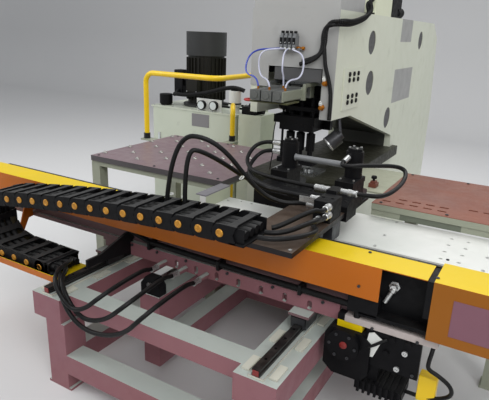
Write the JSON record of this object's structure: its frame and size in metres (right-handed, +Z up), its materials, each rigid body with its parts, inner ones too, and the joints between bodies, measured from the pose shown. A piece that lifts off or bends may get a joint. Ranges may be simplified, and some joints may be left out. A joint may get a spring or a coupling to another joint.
{
  "type": "cnc plate punching machine",
  "caption": "Hydraulic C-frame plate punching machine with saddle and clamp carriage, drag chain, ball transfer and slotted tables, base frame, handrail and power unit",
  "frame": {"origin": "on the floor below the middle punch station", "axes": "+X right along the beam, +Y back into the throat, +Z up"},
  "size_m": [3.399, 3.928, 2.05],
  "materials": {
    "cream_paint": "semi-gloss cream paint",
    "pink_primer": "matt pale pink paint",
    "olive_paint": "semi-gloss olive green paint",
    "black_paint": "semi-matt black oxide and paint",
    "yellow_paint": "gloss yellow paint",
    "red_paint": "worn red brown paint",
    "grey_green_paint": "semi-gloss grey green paint",
    "white_sheet": "pale coated sheet",
    "bright_steel": "ground steel",
    "dark_steel": "dark machined steel",
    "black_plastic": "matt black plastic",
    "black_rubber": "black rubber hose",
    "tube_plastic": "clear and blue air tube",
    "grey_paint": "grey paint",
    "zinc": "zinc plated steel",
    "wheel_red": "red plastic"
  },
  "bodies": {
    "machine": {"air_tubes": "tube_plastic", "base_frame": "pink_primer", "die_holder": "bright_steel", "frame_bolts": "black_paint", "handrail": "yellow_paint", "head_block": "black_paint", "head_conduit": "black_rubber", "head_cover": "cream_paint", "left_table": "red_paint", "left_table_balls": "zinc", "lower_jaw": "olive_paint", "oil_tank": "cream_paint", "power_hoses": "black_rubber", "press_frame": "cream_paint", "pump_motor": "grey_green_paint", "right_table": "red_paint", "stand_valve": "black_paint", "table_frames": "grey_green_paint", "tank_fittings": "black_plastic", "top_cabinet": "cream_paint", "top_valve": "black_paint", "valve_bank": "grey_paint", "work_lamp": "dark_steel", "y_drive": "black_paint", "y_rails": "bright_steel"},
    "saddle": {"saddle_beam": "pink_primer", "y_bearings": "dark_steel", "x_rails": "bright_steel", "beam_covers": "yellow_paint", "saddle_deck": "white_sheet", "chain_tray": "yellow_paint", "fitting_bar": "pink_primer", "saddle_hoses": "black_rubber", "beam_hose": "black_rubber", "drag_chain_lower": "black_plastic", "x_drive": "black_paint"},
    "y_screw": {"y_screw": "bright_steel"},
    "x_screw": {"x_screw": "bright_steel"},
    "chain_loop": {"drag_chain_loop": "black_plastic"},
    "carriage": {"carriage_plate": "dark_steel", "carriage_arm": "grey_paint", "manifold": "black_paint", "clamp_frame": "black_paint", "clamp_bodies": "black_paint", "hose_fittings": "zinc", "carriage_hoses": "black_rubber", "drag_chain_upper": "black_plastic"},
    "jaw_left": {"clamp_jaw_left": "dark_steel"},
    "jaw_right": {"clamp_jaw_right": "dark_steel"},
    "ram": {"ram": "bright_steel", "selector_cylinders": "grey_paint"},
    "selector_left": {"selector_left": "bright_steel"},
    "selector_middle": {"selector_middle": "bright_steel"},
    "selector_right": {"selector_right": "bright_steel"},
    "punch_left": {"punch_left": "dark_steel"},
    "punch_middle": {"punch_middle": "dark_steel"},
    "punch_right": {"punch_right": "dark_steel"},
    "stripper": {"stripper": "dark_steel"},
    "rotor": {"motor_rotor": "dark_steel"},
    "handwheel": {"handwheel": "wheel_red"}
  },
  "joints": [
    {"name": "y_slide", "type": "slide", "parent": "machine", "child": "saddle", "axis": [0, 1, 0], "range_m": [-0.33, 0.25], "deforming": ["saddle_hoses"]},
    {"name": "x_slide", "type": "slide", "parent": "saddle", "child": "carriage", "axis": [1, 0, 0], "range_m": [-0.95, 0.31], "deforming": ["drag_chain_upper", "drag_chain_lower"]},
    {"name": "y_screw_turn", "type": "hinge", "parent": "machine", "child": "y_screw", "pos_m": [-0.1925, 0, 0.518], "axis": [0, 1, 0], "continuous": true},
    {"name": "x_screw_turn", "type": "hinge", "parent": "saddle", "child": "x_screw", "pos_m": [0, -0.852, 0.772], "axis": [1, 0, 0], "continuous": true},
    {"name": "chain_bend_slide", "type": "slide", "parent": "saddle", "child": "chain_loop", "axis": [1, 0, 0], "range_m": [-0.475, 0.155]},
    {"name": "ram_slide", "type": "slide", "parent": "machine", "child": "ram", "axis": [0, 0, 1], "range_m": [-0.05, 0], "deforming": ["air_tubes"]},
    {"name": "punch_left_slide", "type": "slide", "parent": "machine", "child": "punch_left", "axis": [0, 0, 1], "range_m": [-0.05, 0]},
    {"name": "selector_left_slide", "type": "slide", "parent": "ram", "child": "selector_left", "axis": [0, 1, 0], "range_m": [0, 0.09]},
    {"name": "punch_middle_slide", "type": "slide", "parent": "machine", "child": "punch_middle", "axis": [0, 0, 1], "range_m": [-0.05, 0]},
    {"name": "selector_middle_slide", "type": "slide", "parent": "ram", "child": "selector_middle", "axis": [0, 1, 0], "range_m": [0, 0.09]},
    {"name": "punch_right_slide", "type": "slide", "parent": "machine", "child": "punch_right", "axis": [0, 0, 1], "range_m": [-0.05, 0]},
    {"name": "selector_right_slide", "type": "slide", "parent": "ram", "child": "selector_right", "axis": [0, 1, 0], "range_m": [0, 0.09]},
    {"name": "stripper_slide", "type": "slide", "parent": "machine", "child": "stripper", "axis": [0, 0, 1], "range_m": [-0.028, 0]},
    {"name": "jaw_left_slide", "type": "slide", "parent": "carriage", "child": "jaw_left", "axis": [0, 0, 1], "range_m": [-0.012, 0]},
    {"name": "jaw_right_slide", "type": "slide", "parent": "carriage", "child": "jaw_right", "axis": [0, 0, 1], "range_m": [-0.012, 0]},
    {"name": "rotor_turn", "type": "hinge", "parent": "machine", "child": "rotor", "pos_m": [-1.47, 1.13, 1.3], "axis": [0, 0, 1], "continuous": true},
    {"name": "handwheel_turn", "type": "hinge", "parent": "machine", "child": "handwheel", "pos_m": [-0.857, 0.9, 1.1], "axis": [0, 0, 1], "range_deg": [-180, 180]}
  ],
  "couplings": [
    {"joint": "y_screw_turn", "follows": "y_slide", "rad_per_m": 314.16},
    {"joint": "x_screw_turn", "follows": "x_slide", "rad_per_m": 314.16},
    {"joint": "chain_bend_slide", "follows": "x_slide", "ratio": 0.5},
    {"joint": "punch_left_slide", "follows": "ram_slide", "ratio": 1},
    {"joint": "punch_middle_slide", "follows": "ram_slide", "ratio": 1},
    {"joint": "punch_right_slide", "follows": "ram_slide", "ratio": 1},
    {"joint": "stripper_slide", "follows": "ram_slide", "ratio": 0.56},
    {"joint": "jaw_right_slide", "follows": "jaw_left_slide", "ratio": 1}
  ]
}
